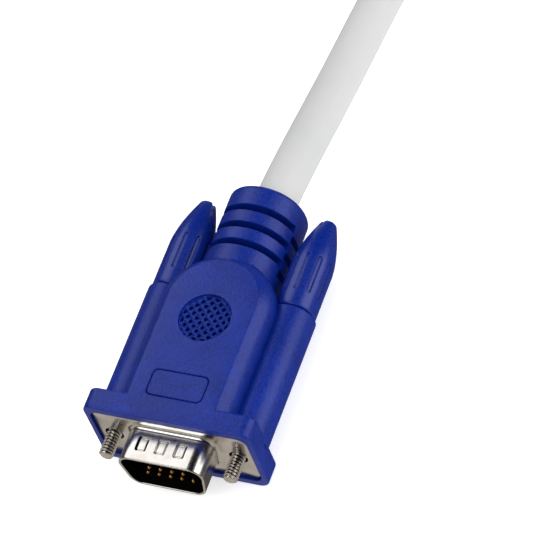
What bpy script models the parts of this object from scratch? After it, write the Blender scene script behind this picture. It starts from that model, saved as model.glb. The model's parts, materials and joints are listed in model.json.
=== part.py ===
"""VGA cable: two moulded 15-pin plugs, one lying free and one on the coiled cord.

Each plug is built in its own frame: Y runs along the cable, the pins face -Y,
Z points to the label side, and y = 0 is the front face of the steel plate.
The near plug stands in the world frame with the bottom of its flange at z = 0.
"""
import math

import bmesh
import bpy
from mathutils import Matrix, Vector

MM = 0.001

# Clearances
GAP = 0.3 * MM
CORD_GAP = 0.5 * MM
FLOOR_GAP = 0.02 * MM

# Contacts: three rows of the 15-way layout, one place of the middle row is empty
PIN_PITCH = 2.29 * MM
ROW_PITCH = 1.98 * MM
ROW_SHIFT = 0.38 * MM
PIN_RADIUS = 0.38 * MM
PIN_REACH = 5.8 * MM
PIN_POINT = 0.45 * MM
PIN_TIP_RADIUS = 0.17 * MM
PIN_SIDES = 8
PIN_HOLE_SIDES = 6

# Steel shells
SCREW_SPACING = 25.0 * MM
PLATE_EAR = 2.9 * MM
PLATE_HEIGHT = 13.8 * MM
PLATE_CORNER = 1.6 * MM
PLATE_THICK = 0.5 * MM
PLATE_HOLE_RADIUS = 1.85 * MM
SHELL_WIDTH = 16.92 * MM
SHELL_HEIGHT = 8.36 * MM
SHELL_CORNER = 2.3 * MM
SHELL_WALL = 0.5 * MM
SHELL_TIP = 0.18 * MM
SIDE_SLOPE = math.radians(10.0)
SKIRT_LENGTH = 6.9 * MM
SKIRT_FLARE = 0.7 * MM
SKIRT_FLARE_STEP = 0.2 * MM
REAR_SKIRT_LENGTH = 3.8 * MM
DIMPLE_SIZE = (2.1 * MM, 2.9 * MM)
DIMPLE_PITCH = 3.95 * MM
DIMPLE_DEPTH = 0.25 * MM
DIMPLE_CENTRE = 3.3 * MM

# Insulator between the shells
NOSE_REACH = 0.5 * MM
INSULATOR_FLANGE = 1.0 * MM
INSULATOR_LIP = 1.1 * MM
INSULATOR_BACK = 4.6 * MM

# Inner mould behind the contacts
MOULD_SIDE_WALL = 0.84 * MM
MOULD_TOP_WALL = 1.52 * MM
MOULD_LENGTH = 14.0 * MM
MOULD_CORNER = 2.0 * MM
MOULD_TAPER = 4.0 * MM
MOULD_NECK = 9.0 * MM

# Moulded hood
FLANGE_EAR = 4.3 * MM
FLANGE_HEIGHT = 18.4 * MM
FLANGE_FRONT = 0.4 * MM
FLANGE_BACK = 4.05 * MM
FLANGE_CORNER = 2.2 * MM
FLANGE_EDGE = 0.35 * MM
PANEL_HALF_WIDTH = 8.9 * MM
BODY_HALF_WIDTH = 11.25 * MM
SHOULDER_DROP = 3.7 * MM
SHOULDER_BULGE = 0.62
SHOULDER_FOOT = 0.92
PANEL_EDGE = 0.2 * MM
PANEL_EDGE_SPREAD = 0.25 * MM
ARCH_CENTRE = 26.3 * MM
ARCH_STEPS = 10
TUBE_RADIUS = 4.55 * MM
TUBE_END = 30.9 * MM
TUBE_EDGE = 0.4 * MM
RELIEF_HALF_WIDTH = 7.8 * MM
RELIEF_HALF_HEIGHT = 8.5 * MM
RELIEF_END = 53.0 * MM
RELIEF_EDGE = 1.0 * MM
RELIEF_CHAMFER = 0.3 * MM
RELIEF_SQUARENESS = 2.1
SLOT_WIDTH = 1.4 * MM
SLOT_PITCH = 3.9 * MM
SLOT_FIRST = 40.0 * MM
SLOT_COUNT = 3
SLOT_DEPTH = 1.3 * MM
TOP_SLOT_LOW = 2.3 * MM
SIDE_SLOT_HALF = 2.6 * MM
LABEL_SIZE = (11.1 * MM, 5.5 * MM)
LABEL_CENTRE = 7.3 * MM
LABEL_CORNER = 1.1 * MM
GROOVE_WIDTH = 0.35 * MM
GROOVE_DEPTH = 0.3 * MM
GRILLE_CENTRE = 22.4 * MM
GRILLE_RADIUS = 5.1 * MM
GRILLE_DEPTH = 0.45 * MM
GRILLE_STEP = 0.9 * MM
GRILLE_HOLE_RADIUS = 0.42 * MM
GRILLE_HOLE_DEPTH = 0.9 * MM
GRILLE_HOLE_SIDES = 6
GRILLE_MARGIN = 0.08 * MM

# Thumbscrews
ROD_RADIUS = 1.42 * MM
ROD_REACH = 5.0 * MM
ROD_CHAMFER = 0.45 * MM
ROD_THREAD = 7.0 * MM
SHANK_RADIUS = 1.2 * MM
ROD_IN_KNOB = 12.5 * MM
KNOB_RADIUS = 4.15 * MM
KNOB_STRAIGHT = 10.0 * MM
KNOB_TIP_RADIUS = 1.7 * MM
KNOB_END_RADIUS = 1.0 * MM
KNOB_TAPER_POWER = 1.9
KNOB_TAPER_STEPS = 3
KNOB_ROUND = 0.3 * MM
KNOB_LENGTH = 20.9 * MM
KNOB_NECK_RADIUS = 2.7 * MM
KNOB_NECK_LENGTH = 5.5 * MM
KNOB_SIDES = 16
FLUTE_COUNT = 10
FLUTE_START = 2.9 * MM
FLUTE_END = 16.0 * MM
FLUTE_WIDTH = 0.7 * MM
FLUTE_DEPTH = 0.35 * MM
FLUTE_STATIONS = ((0.0, 0.1), (0.07, 1.0), (0.65, 1.0), (1.0, 0.1))
DRIVER_SLOT_WIDTH = 1.2 * MM
DRIVER_SLOT_DEPTH = 1.8 * MM
LEFT_KNOB_TURN = math.radians(66.0)
RIGHT_KNOB_TURN = math.radians(-20.0)

# Cord and its coil
CORD_RADIUS = 4.2 * MM
CORD_DEPTH = 11.6 * MM
CORD_STEP = 16.8 * MM
ROUTE_STEPS = 60
COIL_MEAN_RADIUS = 44.4 * MM
COIL_COLUMNS = 2
COIL_LAYERS = 3
COIL_EDGE = 2.4 * MM
COIL_SEGMENTS = 32
COIL_CENTRE = Vector((-36.0, 146.5, 0.0)) * MM
TIE_ANGLE = math.radians(120.0)
TIE_WIDTH = 9.0 * MM
TIE_WALL = 0.9 * MM

# Round section steps
CORNER_STEPS = 3
TUBE_SIDES = 18
BORE_SIDES = 10
SHARP_ANGLE = math.radians(35.0)

# Values that follow
PLATE_WIDTH = SCREW_SPACING + 2 * PLATE_EAR
FLANGE_WIDTH = SCREW_SPACING + 2 * FLANGE_EAR
MOULD_WIDTH = SHELL_WIDTH + 2 * MOULD_SIDE_WALL
MOULD_HEIGHT = SHELL_HEIGHT + 2 * MOULD_TOP_WALL
Y_MIDDLE = (RELIEF_END - SKIRT_LENGTH) / 2
NEAR_PLACE = Vector((0.0, -Y_MIDDLE, FLANGE_HEIGHT / 2))
HALF_SPACING = SCREW_SPACING / 2
INSULATOR_FRONT = PLATE_THICK + GAP
KNOB_BASE = TUBE_END + GAP
REAR_PLATE_FRONT = INSULATOR_FRONT + INSULATOR_FLANGE + GAP
REAR_PLATE_BACK = REAR_PLATE_FRONT + PLATE_THICK
INSULATOR_END = REAR_PLATE_BACK + INSULATOR_BACK
MOULD_FRONT = INSULATOR_END + GAP
COIL_HALF_SECTION = COIL_COLUMNS * CORD_RADIUS
COIL_OUTER = COIL_MEAN_RADIUS + COIL_HALF_SECTION
COIL_HEIGHT = COIL_LAYERS * 2 * CORD_RADIUS
LEAD_Z = COIL_HEIGHT + GAP + CORD_RADIUS
FAR_AXIS_Z = COIL_HEIGHT + GAP + FLANGE_HEIGHT / 2
CORD_Z = CORD_RADIUS + FLOOR_GAP

# Route of the cord's free stretch in the world frame, in millimetres but for the heights
FREE_ROUTE = [
    (0.0, 18.4, NEAR_PLACE.z / MM),
    (0.0, 30.0, NEAR_PLACE.z / MM),
    (0.1, 40.5, 8.6),
    (0.5, 52.0, 6.8),
    (1.0, 63.0, 5.0),
    (1.6, 73.0, CORD_Z / MM),
    (2.6, 86.0, CORD_Z / MM),
    (5.0, 101.5, CORD_Z / MM),
    (8.6, 117.5, CORD_Z / MM),
    (11.5, 132.0, CORD_Z / MM),
    (12.6, 146.5, CORD_Z / MM),
]

# Route of the lead on top of the coil to the far plug, from the coil's centre
LEAD_ROUTE = [
    (-28.5, -34.0, LEAD_Z / MM),
    (-16.6, -41.2, LEAD_Z / MM + 0.1),
    (-2.6, -44.3, LEAD_Z / MM + 0.6),
    (8.8, -43.2, LEAD_Z / MM + 1.4),
    (19.6, -38.2, LEAD_Z / MM + 2.6),
    (28.3, -30.1, FAR_AXIS_Z / MM - 1.2),
    (33.6, -19.8, FAR_AXIS_Z / MM - 0.3),
    (35.5, -8.4, FAR_AXIS_Z / MM),
    (35.5, 3.2, FAR_AXIS_Z / MM),
]
FAR_PLACE = COIL_CENTRE + Vector(
    (LEAD_ROUTE[-1][0] * MM, LEAD_ROUTE[-2][1] * MM + RELIEF_END, FAR_AXIS_Z)
)

for old in list(bpy.data.objects):
    bpy.data.objects.remove(old, do_unlink=True)


# Materials
def material(name, colour, roughness, metallic=0.0):
    """A plain Principled material."""
    made = bpy.data.materials.new(name)
    made.use_nodes = True
    shader = made.node_tree.nodes["Principled BSDF"]
    shader.inputs["Base Color"].default_value = (*colour, 1.0)
    shader.inputs["Roughness"].default_value = roughness
    shader.inputs["Metallic"].default_value = metallic
    return made


HOOD_PVC = material("hood_pvc", (0.023, 0.040, 0.290), 0.55)
KNOB_PVC = material("knob_pvc", (0.020, 0.036, 0.270), 0.50)
SHELL_STEEL = material("shell_steel", (0.66, 0.63, 0.58), 0.28, 1.0)
ROD_STEEL = material("rod_steel", (0.60, 0.57, 0.52), 0.32, 1.0)
INSULATOR_PBT = material("insulator_pbt", (0.010, 0.010, 0.011), 0.45)
MOULD_PE = material("mould_pe", (0.62, 0.62, 0.58), 0.60)
PIN_GOLD = material("pin_gold", (0.80, 0.52, 0.20), 0.25, 1.0)
CORD_PVC = material("cord_pvc", (0.78, 0.78, 0.77), 0.50)
TIE_FABRIC = material("tie_fabric", (0.015, 0.015, 0.016), 0.85)


# Outlines: each is a list of points across the cable axis, (x, z)
def rounded_quad(top_half, bottom_half, half_height, radius):
    """A trapezium or rectangle with round corners, counted from the top right."""
    corners = [
        Vector((top_half, half_height)),
        Vector((-top_half, half_height)),
        Vector((-bottom_half, -half_height)),
        Vector((bottom_half, -half_height)),
    ]
    points = []
    for i, corner in enumerate(corners):
        back = (corners[i - 1] - corner).normalized()
        ahead = (corners[(i + 1) % 4] - corner).normalized()
        half_angle = back.angle(ahead) / 2
        centre = corner + (back + ahead).normalized() * radius / math.sin(half_angle)
        tangent = corner + back * radius / math.tan(half_angle) - centre
        start = math.atan2(tangent.y, tangent.x)
        for step in range(CORNER_STEPS + 1):
            angle = start + (math.pi - 2 * half_angle) * step / CORNER_STEPS
            points.append((centre.x + radius * math.cos(angle), centre.y + radius * math.sin(angle)))
    return points


def d_outline(offset):
    """The front shell's inside D, grown by an offset on every side."""
    half_height = SHELL_HEIGHT / 2 + offset
    middle = SHELL_WIDTH / 2 - SHELL_HEIGHT / 2 * math.tan(SIDE_SLOPE)
    middle += offset / math.cos(SIDE_SLOPE)
    spread = half_height * math.tan(SIDE_SLOPE)
    return rounded_quad(middle + spread, middle - spread, half_height, SHELL_CORNER + offset)


def block_outline(width, height, corner, offset=0.0):
    """A rectangle with round corners, grown by an offset."""
    half = width / 2 + offset
    return rounded_quad(half, half, height / 2 + offset, corner + offset)


def plate_outline(offset=0.0):
    """The steel plate's outline, grown by an offset."""
    return block_outline(PLATE_WIDTH, PLATE_HEIGHT, PLATE_CORNER, offset)


def oval_outline(half_width, half_height):
    """A superellipse, the strain relief's squarish oval."""
    points = []
    for step in range(TUBE_SIDES):
        c = math.cos(2 * math.pi * step / TUBE_SIDES)
        s = math.sin(2 * math.pi * step / TUBE_SIDES)
        x = half_width * math.copysign(abs(c) ** (2 / RELIEF_SQUARENESS), c)
        z = half_height * math.copysign(abs(s) ** (2 / RELIEF_SQUARENESS), s)
        points.append((x, z))
    return points


def circle_outline(radius, sides, x=0.0, z=0.0):
    """A circle about a place across the axis."""
    turns = [2 * math.pi * step / sides for step in range(sides)]
    return [(x + radius * math.cos(turn), z + radius * math.sin(turn)) for turn in turns]


def arch_outline(half_width):
    """The panel's arch seen from above, (x, y): straight sides and a round end."""
    points = [(-half_width, FLANGE_BACK - MM), (half_width, FLANGE_BACK - MM)]
    for step in range(ARCH_STEPS + 1):
        angle = math.pi * step / ARCH_STEPS
        points.append((half_width * math.cos(angle), ARCH_CENTRE + half_width * math.sin(angle)))
    return points


# Solids
def new_mesh(rings, closed=False):
    """Bridge rings of equal length into one closed surface with its faces out."""
    bm = bmesh.new()
    loops = [[bm.verts.new(point) for point in ring] for ring in rings]
    pairs = list(zip(loops, loops[1:]))
    if closed:
        pairs.append((loops[-1], loops[0]))
    else:
        bm.faces.new(loops[0])
        bm.faces.new(loops[-1])
    for first, second in pairs:
        for i in range(len(first)):
            j = (i + 1) % len(first)
            bm.faces.new((first[i], first[j], second[j], second[i]))
    bmesh.ops.recalc_face_normals(bm, faces=bm.faces)
    mesh = bpy.data.meshes.new("solid")
    bm.to_mesh(mesh)
    bm.free()
    return mesh


def along_y(stations, closed=False):
    """A loft through outlines (x, z) placed at stations along the cable axis."""
    return new_mesh([[(x, y, z) for x, z in outline] for y, outline in stations], closed)


def along_z(stations, closed=False):
    """A loft through outlines (x, y) placed at heights."""
    return new_mesh([[(x, y, z) for x, y in outline] for z, outline in stations], closed)


def prism(outline, start, end):
    """An outline (x, z) extruded along Y."""
    return along_y([(start, outline), (end, outline)])


def turned(profile, sides, x=0.0, z=0.0):
    """A profile of (y, radius) turned about an axis along Y."""
    return along_y([(y, circle_outline(radius, sides, x, z)) for y, radius in profile])


def box(low, high):
    """A plain box between two corners."""
    outline = [(low[0], low[2]), (high[0], low[2]), (high[0], high[2]), (low[0], high[2])]
    return prism(outline, low[1], high[1])


def merged(meshes):
    """Several separate bodies in one mesh, for cutters and groups."""
    bm = bmesh.new()
    for mesh in meshes:
        bm.from_mesh(mesh)
    group = bpy.data.meshes.new("group")
    bm.to_mesh(group)
    bm.free()
    return group


def combined(base, tools, operation):
    """Apply an exact Boolean with each tool in turn and give back the mesh."""
    holder = bpy.data.objects.new("holder", base)
    bpy.context.scene.collection.objects.link(holder)
    helpers = []
    for tool in tools:
        helper = bpy.data.objects.new("helper", tool)
        bpy.context.scene.collection.objects.link(helper)
        helpers.append(helper)
        change = holder.modifiers.new("change", "BOOLEAN")
        change.operation = operation
        change.solver = "EXACT"
        change.object = helper
    bpy.context.view_layer.update()
    evaluated = holder.evaluated_get(bpy.context.evaluated_depsgraph_get())
    result = bpy.data.meshes.new_from_object(evaluated)
    for used in [holder, *helpers]:
        bpy.data.objects.remove(used, do_unlink=True)
    return result


def cut(base, tools):
    return combined(base, tools, "DIFFERENCE")


def join(base, tools):
    return combined(base, tools, "UNION")


# Hood: the blue moulding with its flange, arched body, screw tubes and strain relief
def hood_outside():
    def flange_outline(offset):
        return block_outline(FLANGE_WIDTH, FLANGE_HEIGHT, FLANGE_CORNER, offset)

    flange = along_y(
        [
            (-FLANGE_FRONT, flange_outline(-FLANGE_EDGE)),
            (-FLANGE_FRONT + FLANGE_EDGE, flange_outline(0.0)),
            (FLANGE_BACK - FLANGE_EDGE, flange_outline(0.0)),
            (FLANGE_BACK, flange_outline(-FLANGE_EDGE)),
        ]
    )
    half_height = FLANGE_HEIGHT / 2
    spread = BODY_HALF_WIDTH - PANEL_HALF_WIDTH
    steps = [
        (half_height, 0.0),
        (half_height - PANEL_EDGE, PANEL_EDGE_SPREAD),
        (half_height - SHOULDER_DROP / 2, spread * SHOULDER_BULGE),
        (half_height - SHOULDER_DROP, spread * SHOULDER_FOOT),
        (0.0, spread),
    ]
    sides = [(z, arch_outline(PANEL_HALF_WIDTH + wider)) for z, wider in steps]
    sides += [(-z, outline) for z, outline in reversed(sides[:-1])]
    body = along_z(sides)
    tubes = [
        turned(
            [
                (FLANGE_BACK - MM, TUBE_RADIUS),
                (TUBE_END - TUBE_EDGE, TUBE_RADIUS),
                (TUBE_END, TUBE_RADIUS - TUBE_EDGE),
            ],
            TUBE_SIDES,
            x,
        )
        for x in (-HALF_SPACING, HALF_SPACING)
    ]
    return join(body, [flange, *tubes, relief_mesh()])


def relief_mesh():
    """The strain relief: a squarish oval tube with a round end, its slots and the cord's bore."""

    def outline(inset):
        return oval_outline(RELIEF_HALF_WIDTH - inset, RELIEF_HALF_HEIGHT - inset)

    solid = along_y(
        [
            (ARCH_CENTRE, outline(0.0)),
            (RELIEF_END - RELIEF_EDGE, outline(0.0)),
            (RELIEF_END - RELIEF_CHAMFER, outline(RELIEF_CHAMFER)),
            (RELIEF_END, outline(RELIEF_EDGE)),
        ]
    )
    cord_bore = turned(
        [
            (RELIEF_END - CORD_DEPTH - CORD_GAP, CORD_RADIUS + CORD_GAP),
            (RELIEF_END + MM, CORD_RADIUS + CORD_GAP),
        ],
        TUBE_SIDES,
    )
    return cut(solid, [cord_bore, relief_slots()])


def relief_slots():
    """Slots round the upper and lower halves, and short ones between them on the two sides."""
    reach = 2 * max(RELIEF_HALF_WIDTH, RELIEF_HALF_HEIGHT)
    side_low = RELIEF_HALF_WIDTH / 2
    boxes = []
    for index in range(SLOT_COUNT):
        y = SLOT_FIRST + index * SLOT_PITCH
        y0 = y - SLOT_WIDTH / 2
        y1 = y + SLOT_WIDTH / 2
        boxes.append(box((-reach, y0, TOP_SLOT_LOW), (reach, y1, reach)))
        boxes.append(box((-reach, y0, -reach), (reach, y1, -TOP_SLOT_LOW)))
        y0 -= SLOT_PITCH / 2
        y1 -= SLOT_PITCH / 2
        boxes.append(box((side_low, y0, -SIDE_SLOT_HALF), (reach, y1, SIDE_SLOT_HALF)))
        boxes.append(box((-reach, y0, -SIDE_SLOT_HALF), (-side_low, y1, SIDE_SLOT_HALF)))
    core = prism(
        oval_outline(RELIEF_HALF_WIDTH - SLOT_DEPTH, RELIEF_HALF_HEIGHT - SLOT_DEPTH),
        SLOT_FIRST - SLOT_PITCH,
        SLOT_FIRST + SLOT_COUNT * SLOT_PITCH,
    )
    return cut(merged(boxes), [core])


def label_groove():
    """A shallow groove round the bare label field."""
    top = FLANGE_HEIGHT / 2

    def field(offset):
        outline = block_outline(*LABEL_SIZE, LABEL_CORNER, offset)
        return [(x, y + LABEL_CENTRE) for x, y in outline]

    outer = field(GROOVE_WIDTH / 2)
    inner = field(-GROOVE_WIDTH / 2)
    low = top - GROOVE_DEPTH
    high = top + MM
    return along_z([(low, outer), (high, outer), (high, inner), (low, inner)], closed=True)


def grille_cutters():
    """A round recess and the small holes of a staggered square grid inside it."""
    top = FLANGE_HEIGHT / 2
    floor = top - GRILLE_DEPTH
    recess_outline = circle_outline(GRILLE_RADIUS, TUBE_SIDES, 0.0, GRILLE_CENTRE)
    recess = along_z([(floor, recess_outline), (top + MM, recess_outline)])
    limit = GRILLE_RADIUS - GRILLE_HOLE_RADIUS - GRILLE_MARGIN
    count = int(limit / GRILLE_STEP)
    places = []
    for column in range(-count, count + 1):
        for row in range(-count, count + 1):
            x = column * GRILLE_STEP
            y = row * GRILLE_STEP
            if (column + row) % 2 == 0 and math.hypot(x, y) <= limit:
                places.append((x, y + GRILLE_CENTRE))
    holes = []
    for x, y in places:
        outline = circle_outline(GRILLE_HOLE_RADIUS, GRILLE_HOLE_SIDES, x, y)
        holes.append(along_z([(floor - GRILLE_HOLE_DEPTH, outline), (floor + GAP, outline)]))
    return [recess, merged(holes)]


def hood_mesh():
    pocket = prism(plate_outline(GAP), -FLANGE_FRONT - MM, REAR_PLATE_BACK + GAP)
    mould_end = MOULD_FRONT + MOULD_LENGTH
    cavity_outline = block_outline(MOULD_WIDTH, MOULD_HEIGHT, MOULD_CORNER, GAP)
    neck_outline = block_outline(MOULD_NECK, MOULD_NECK, MOULD_CORNER, GAP)
    cavity = along_y(
        [
            (REAR_PLATE_BACK, cavity_outline),
            (mould_end + GAP, cavity_outline),
            (mould_end + MOULD_TAPER + GAP, neck_outline),
        ]
    )
    neck_start = TUBE_END - KNOB_NECK_LENGTH
    bores = [
        turned(
            [
                (REAR_PLATE_BACK, ROD_RADIUS + GAP),
                (neck_start, ROD_RADIUS + GAP),
                (neck_start, KNOB_NECK_RADIUS + GAP),
                (TUBE_END, KNOB_NECK_RADIUS + GAP),
                (TUBE_END, KNOB_RADIUS + GAP),
                (KNOB_BASE + KNOB_LENGTH, KNOB_RADIUS + GAP),
            ],
            KNOB_SIDES,
            x,
        )
        for x in (-HALF_SPACING, HALF_SPACING)
    ]
    return cut(hood_outside(), [label_groove(), *grille_cutters(), pocket, cavity, *bores])


# Steel shells: each is one stamped sheet, a plate with a drawn D-shaped skirt
def screw_holes(start, end):
    profile = [(start, PLATE_HOLE_RADIUS), (end, PLATE_HOLE_RADIUS)]
    return [turned(profile, BORE_SIDES, x) for x in (-HALF_SPACING, HALF_SPACING)]


def dimple_boxes(low, high):
    """Boxes for the pressed contact dimples, between two heights, above and below."""
    half_x = DIMPLE_SIZE[0] / 2
    half_y = DIMPLE_SIZE[1] / 2
    boxes = []
    for index in (-1, 0, 1):
        x = index * DIMPLE_PITCH
        y = -DIMPLE_CENTRE
        boxes.append(box((x - half_x, y - half_y, low), (x + half_x, y + half_y, high)))
        boxes.append(box((x - half_x, y - half_y, -high), (x + half_x, y + half_y, -low)))
    return merged(boxes)


def front_shell_mesh():
    sheet = along_y(
        [
            (-SKIRT_LENGTH, d_outline(SHELL_WALL - SHELL_TIP)),
            (-SKIRT_LENGTH + SHELL_TIP, d_outline(SHELL_WALL)),
            (-SKIRT_FLARE, d_outline(SHELL_WALL)),
            (-SKIRT_FLARE_STEP, d_outline(SHELL_WALL + SKIRT_FLARE_STEP)),
            (0.0, d_outline(SHELL_WALL + SKIRT_FLARE)),
            (0.0, plate_outline()),
            (PLATE_THICK, plate_outline()),
            (PLATE_THICK, d_outline(0.0)),
            (-SKIRT_LENGTH, d_outline(0.0)),
        ],
        closed=True,
    )
    outside = SHELL_HEIGHT / 2 + SHELL_WALL
    inside = SHELL_HEIGHT / 2
    bosses = dimple_boxes(inside - DIMPLE_DEPTH, inside + SHELL_WALL / 4)
    pressed = dimple_boxes(outside - DIMPLE_DEPTH, outside + MM)
    return cut(join(sheet, [bosses]), [pressed, *screw_holes(-MM, PLATE_THICK + MM)])


def rear_shell_mesh():
    skirt_end = REAR_PLATE_BACK + REAR_SKIRT_LENGTH
    sheet = along_y(
        [
            (REAR_PLATE_FRONT, plate_outline()),
            (REAR_PLATE_BACK, plate_outline()),
            (REAR_PLATE_BACK, d_outline(SHELL_WALL)),
            (skirt_end, d_outline(SHELL_WALL)),
            (skirt_end, d_outline(0.0)),
            (REAR_PLATE_FRONT, d_outline(0.0)),
        ],
        closed=True,
    )
    return cut(sheet, screw_holes(REAR_PLATE_FRONT - MM, REAR_PLATE_BACK + MM))


# Contacts and the plastic that holds them
def pin_places():
    """Name and place across the axis of each contact, seen from the pins' end."""
    places = []
    for index in range(5):
        places.append((f"top_{index + 1}", (index - 2) * PIN_PITCH - ROW_SHIFT, ROW_PITCH))
    for index in range(4):
        places.append((f"middle_{index + 1}", (index - 1.5) * PIN_PITCH, 0.0))
    for index in range(5):
        places.append((f"bottom_{index + 1}", (index - 2) * PIN_PITCH + ROW_SHIFT, -ROW_PITCH))
    return places


def pin_mesh():
    profile = [
        (-PIN_REACH, PIN_TIP_RADIUS),
        (-PIN_REACH + PIN_POINT, PIN_RADIUS),
        (INSULATOR_END, PIN_RADIUS),
    ]
    return turned(profile, PIN_SIDES)


def insulator_mesh():
    flange_back = INSULATOR_FRONT + INSULATOR_FLANGE
    block = along_y(
        [
            (-NOSE_REACH, d_outline(-GAP)),
            (INSULATOR_FRONT, d_outline(-GAP)),
            (INSULATOR_FRONT, d_outline(INSULATOR_LIP)),
            (flange_back, d_outline(INSULATOR_LIP)),
            (flange_back, d_outline(-GAP)),
            (INSULATOR_END, d_outline(-GAP)),
        ]
    )
    profile = [(-NOSE_REACH - MM, PIN_RADIUS + GAP), (INSULATOR_END + MM, PIN_RADIUS + GAP)]
    holes = [turned(profile, PIN_HOLE_SIDES, x, z) for _, x, z in pin_places()]
    return cut(block, [merged(holes)])


def inner_mould_mesh():
    mould_end = MOULD_FRONT + MOULD_LENGTH
    return along_y(
        [
            (MOULD_FRONT, block_outline(MOULD_WIDTH, MOULD_HEIGHT, MOULD_CORNER)),
            (mould_end, block_outline(MOULD_WIDTH, MOULD_HEIGHT, MOULD_CORNER)),
            (mould_end + MOULD_TAPER, block_outline(MOULD_NECK, MOULD_NECK, MOULD_CORNER)),
        ]
    )


# Thumbscrews: a fluted knob moulded over a steel screw, each turned about its own Y axis
def knob_radius(y):
    """Outside radius at a distance from the knob's shoulder."""
    share = max(0.0, (y - KNOB_STRAIGHT) / (KNOB_LENGTH - KNOB_STRAIGHT))
    return KNOB_RADIUS - (KNOB_RADIUS - KNOB_TIP_RADIUS) * share**KNOB_TAPER_POWER


def knob_flute(angle):
    """A V-shaped groove that follows the knob's outside and runs out at both ends."""
    radial = Vector((math.cos(angle), 0.0, math.sin(angle)))
    across = Vector((-math.sin(angle), 0.0, math.cos(angle)))
    run = FLUTE_END - FLUTE_START
    rings = []
    for share, size in FLUTE_STATIONS:
        y = FLUTE_START + share * run
        centre = radial * knob_radius(y) + Vector((0.0, KNOB_BASE + y, 0.0))
        depth = radial * FLUTE_DEPTH * size
        width = across * FLUTE_WIDTH / 2 * size
        rings.append([centre + depth, centre + width, centre - depth, centre - width])
    return new_mesh(rings)


def knob_mesh():
    profile = [
        (KNOB_BASE - KNOB_NECK_LENGTH + GAP, KNOB_NECK_RADIUS),
        (KNOB_BASE, KNOB_NECK_RADIUS),
        (KNOB_BASE, KNOB_RADIUS - KNOB_ROUND),
        (KNOB_BASE + KNOB_ROUND, KNOB_RADIUS),
    ]
    taper = KNOB_LENGTH - KNOB_STRAIGHT - KNOB_ROUND
    for step in range(KNOB_TAPER_STEPS + 1):
        y = KNOB_STRAIGHT + taper * step / KNOB_TAPER_STEPS
        profile.append((KNOB_BASE + y, knob_radius(y)))
    profile.append((KNOB_BASE + KNOB_LENGTH, KNOB_END_RADIUS))
    solid = turned(profile, KNOB_SIDES)
    flutes = merged([knob_flute(2 * math.pi * (i + 0.5) / FLUTE_COUNT) for i in range(FLUTE_COUNT)])
    rod_hole = turned(
        [
            (KNOB_BASE - KNOB_NECK_LENGTH - MM, SHANK_RADIUS + GAP),
            (KNOB_BASE + ROD_IN_KNOB + GAP, SHANK_RADIUS + GAP),
        ],
        BORE_SIDES,
    )
    slot_low = KNOB_BASE + KNOB_LENGTH - DRIVER_SLOT_DEPTH
    driver_slot = box(
        (-DRIVER_SLOT_WIDTH / 2, slot_low, -KNOB_RADIUS),
        (DRIVER_SLOT_WIDTH / 2, slot_low + 2 * DRIVER_SLOT_DEPTH, KNOB_RADIUS),
    )
    return cut(solid, [flutes, rod_hole, driver_slot])


def rod_mesh():
    thread_end = -ROD_REACH + ROD_THREAD
    profile = [
        (-ROD_REACH, ROD_RADIUS - ROD_CHAMFER),
        (-ROD_REACH + ROD_CHAMFER, ROD_RADIUS),
        (thread_end, ROD_RADIUS),
        (thread_end + ROD_RADIUS - SHANK_RADIUS, SHANK_RADIUS),
        (KNOB_BASE + ROD_IN_KNOB, SHANK_RADIUS),
    ]
    return turned(profile, BORE_SIDES)


# Placing
def place(name, mesh, look, parent=None, location=(0.0, 0.0, 0.0), turn=0.0):
    """One named object with its own material, turned about its own Y axis."""
    mesh.materials.clear()
    mesh.materials.append(look)
    made = bpy.data.objects.new(name, mesh)
    made.location = location
    made.rotation_euler.y = turn
    made.parent = parent
    bpy.context.scene.collection.objects.link(made)
    return made


def smooth(mesh):
    mesh.shade_smooth()
    mesh.set_sharp_from_angle(angle=SHARP_ANGLE)
    return mesh


def empty(name, location, turn):
    made = bpy.data.objects.new(name, None)
    made.location = location
    made.rotation_euler.z = turn
    bpy.context.scene.collection.objects.link(made)
    return made


HOOD = smooth(hood_mesh())
FRONT_SHELL = smooth(front_shell_mesh())
REAR_SHELL = smooth(rear_shell_mesh())
INSULATOR = insulator_mesh()
INNER_MOULD = inner_mould_mesh()
KNOB = smooth(knob_mesh())
ROD = smooth(rod_mesh())
PIN = smooth(pin_mesh())


def plug(frame, suffix):
    """All of a plug's pieces in the frame of an empty."""
    place("hood" + suffix, HOOD, HOOD_PVC, frame)
    place("front_shell" + suffix, FRONT_SHELL, SHELL_STEEL, frame)
    place("rear_shell" + suffix, REAR_SHELL, SHELL_STEEL, frame)
    place("insulator" + suffix, INSULATOR, INSULATOR_PBT, frame)
    place("inner_mould" + suffix, INNER_MOULD, MOULD_PE, frame)
    for side, x, turn in (
        ("left", -HALF_SPACING, LEFT_KNOB_TURN),
        ("right", HALF_SPACING, RIGHT_KNOB_TURN),
    ):
        place(f"knob_{side}{suffix}", KNOB, KNOB_PVC, frame, (x, 0.0, 0.0), turn)
        place(f"screw_{side}{suffix}", ROD, ROD_STEEL, frame, (x, 0.0, 0.0), turn)
    for label, x, z in pin_places():
        place(f"pin_{label}{suffix}", PIN, PIN_GOLD, frame, (x, 0.0, z))


plug(empty("near_plug", NEAR_PLACE, 0.0), "")
plug(empty("far_plug", FAR_PLACE, math.pi), "_far")


# Cord: two free stretches, and the coil's turns as one ring
def smooth_route(route):
    """A Catmull-Rom curve through the route's points, closely stepped."""
    points = [Vector(point) for point in route]
    points = [2 * points[0] - points[1], *points, 2 * points[-1] - points[-2]]
    curve = []
    for a, b, c, d in zip(points, points[1:], points[2:], points[3:]):
        for step in range(ROUTE_STEPS):
            t = step / ROUTE_STEPS
            curve.append(
                0.5
                * (
                    2 * b
                    + (c - a) * t
                    + (2 * a - 5 * b + 4 * c - d) * t**2
                    + (3 * b - a - 3 * c + d) * t**3
                )
            )
    curve.append(points[-2])
    return curve


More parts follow.
